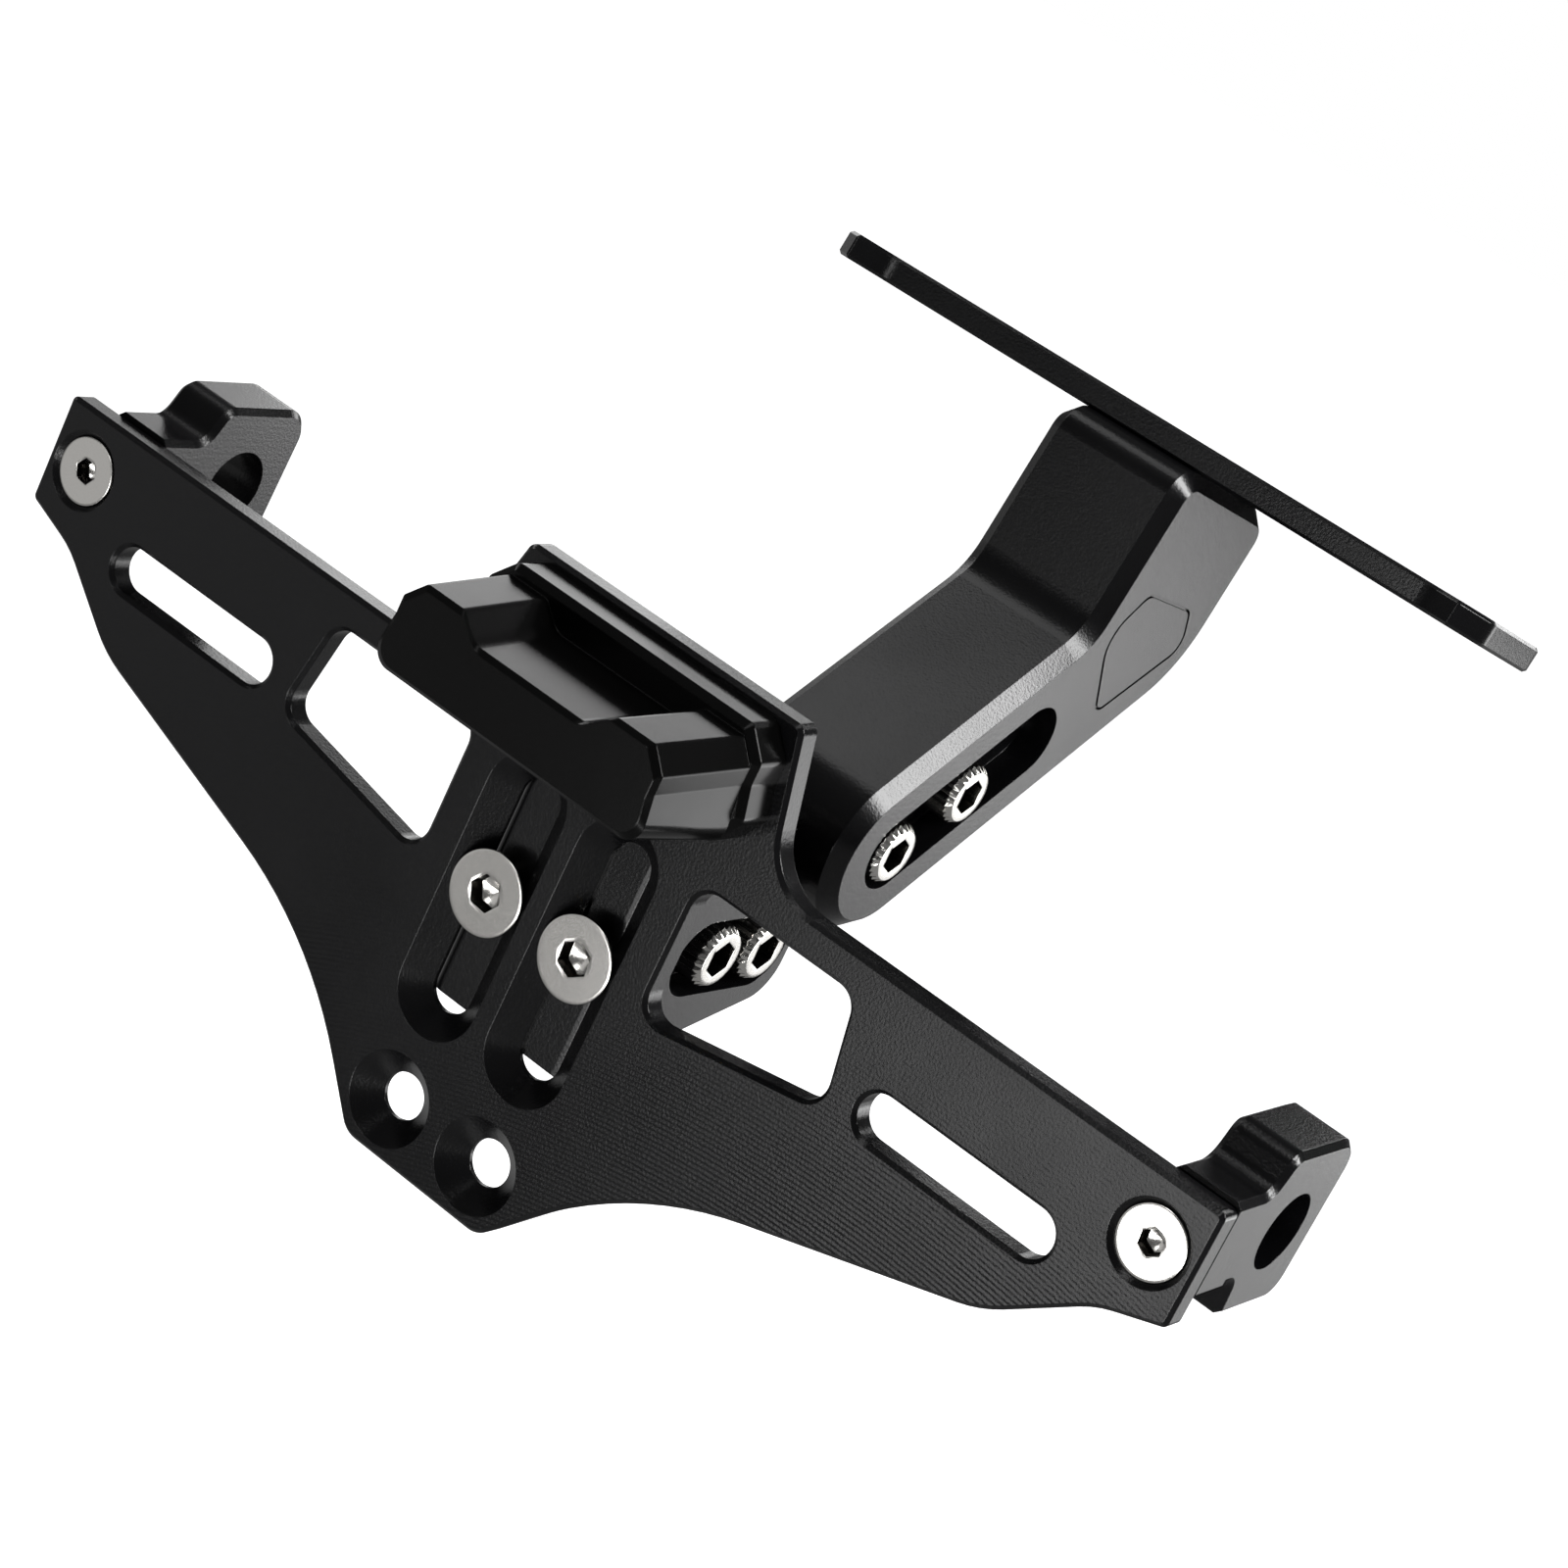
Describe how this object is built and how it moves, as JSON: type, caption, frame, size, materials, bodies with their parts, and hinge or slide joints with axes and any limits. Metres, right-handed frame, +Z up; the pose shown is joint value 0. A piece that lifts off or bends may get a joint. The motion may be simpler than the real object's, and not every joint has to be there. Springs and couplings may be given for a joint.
{
  "type": "license plate holder",
  "caption": "License plate holder for a motorbike tail: slotted wing plate with plate light and signal brackets, adjustable on a bent arm below a sloping mounting plate.",
  "frame": {"origin": "front face of the wing plate, half way between its two end screws", "axes": "+X to the right along the wing plate, +Y forward into the bike, away from the reader of the number plate, +Z up"},
  "size_m": [0.21, 0.1813, 0.1232],
  "materials": {
    "black_anodised": "satin black anodised, milled",
    "light_housing": "glossy black moulded plastic",
    "clear_lens": "clear moulded lens",
    "circuit_board": "white solder mask",
    "led_emitter": "white light emitters with yellow phosphor",
    "stainless_steel": "bright stainless steel"
  },
  "bodies": {
    "tail": {"tail_plate": "black_anodised", "arm": "black_anodised", "tail_screw_rear_left": "stainless_steel", "tail_screw_rear_right": "stainless_steel", "tail_screw_front_left": "stainless_steel", "tail_screw_front_right": "stainless_steel"},
    "link": {"link": "black_anodised", "arm_bolt_low": "stainless_steel", "arm_bolt_high": "stainless_steel", "arm_nut_low": "stainless_steel", "arm_nut_high": "stainless_steel", "bracket_bolt_rear": "stainless_steel", "bracket_bolt_front": "stainless_steel", "bracket_nut_rear": "stainless_steel", "bracket_nut_front": "stainless_steel"},
    "bracket": {"plate_bracket": "black_anodised", "plate_screw_left": "stainless_steel", "plate_screw_right": "stainless_steel"},
    "wing": {"wing_plate": "black_anodised", "light_body": "light_housing", "light_lens": "clear_lens", "light_board": "circuit_board", "light_leds": "led_emitter", "light_screw_left": "stainless_steel", "light_screw_right": "stainless_steel", "signal_bracket_left": "black_anodised", "signal_bracket_right": "black_anodised", "signal_screw_left": "stainless_steel", "signal_screw_right": "stainless_steel"}
  },
  "joints": [
    {"name": "link_in_arm", "type": "slide", "parent": "tail", "child": "link", "axis": [0, 0.8329, 0.5534], "range_m": [0, 0.003]},
    {"name": "bracket_on_link", "type": "slide", "parent": "link", "child": "bracket", "axis": [0, 1, 0], "range_m": [0, 0.002]},
    {"name": "plate_on_bracket", "type": "slide", "parent": "bracket", "child": "wing", "axis": [0, 0, 1], "range_m": [-0.014, 0.0155]}
  ]
}
